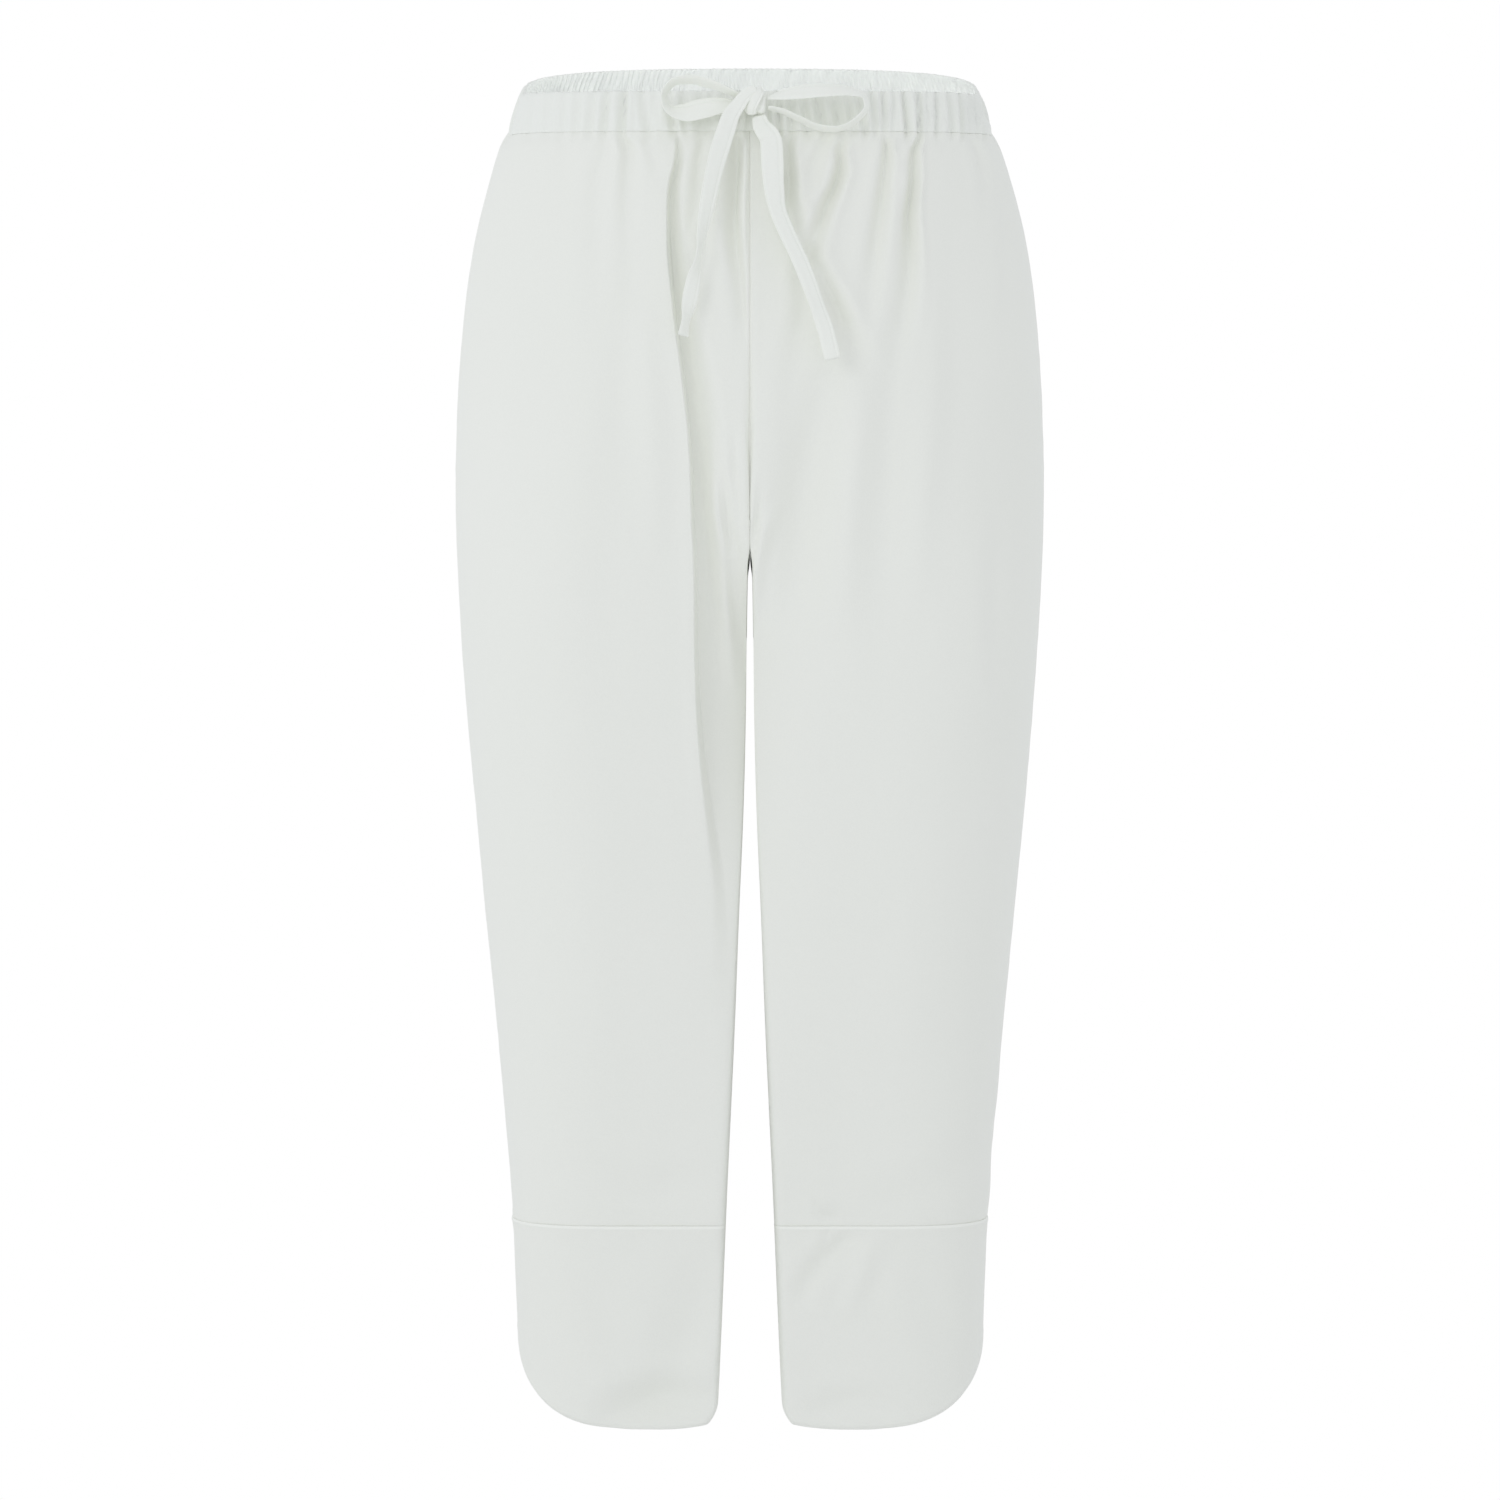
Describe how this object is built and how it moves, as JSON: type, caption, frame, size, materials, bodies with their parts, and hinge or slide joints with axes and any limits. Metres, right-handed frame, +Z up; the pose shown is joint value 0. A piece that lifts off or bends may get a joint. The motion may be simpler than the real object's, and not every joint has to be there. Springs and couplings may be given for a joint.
{
  "type": "capri pants",
  "caption": "Tapered capri pants in worn form, with a gathered elastic waistband, a tape tied in a bow at the front, and deep cuffs with rounded corners at the outseams.",
  "frame": {"origin": "middle of the waist opening, level with the middle of the waistband at the side seams", "axes": "+X towards the wearer's left, +Y towards the back, +Z up out of the waist opening"},
  "size_m": [0.3668, 0.2777, 0.8469],
  "materials": {
    "crepe": "matte off-white crepe, softly creased",
    "waistband": "matte off-white crepe ruched over elastic",
    "cuff": "matte off-white crepe, doubled and pressed",
    "drawstring": "matte off-white crepe tape, turned and pressed"
  },
  "bodies": {
    "root": {"front_right": "crepe", "front_left": "crepe", "back_right": "crepe", "back_left": "crepe", "waistband_front": "waistband", "waistband_back": "waistband", "cuff_front_right": "cuff", "cuff_front_left": "cuff", "cuff_back_right": "cuff", "cuff_back_left": "cuff", "drawstring_knot": "drawstring", "drawstring_loop_right": "drawstring", "drawstring_loop_left": "drawstring", "drawstring_end_right": "drawstring", "drawstring_end_left": "drawstring"}
  },
  "joints": []
}
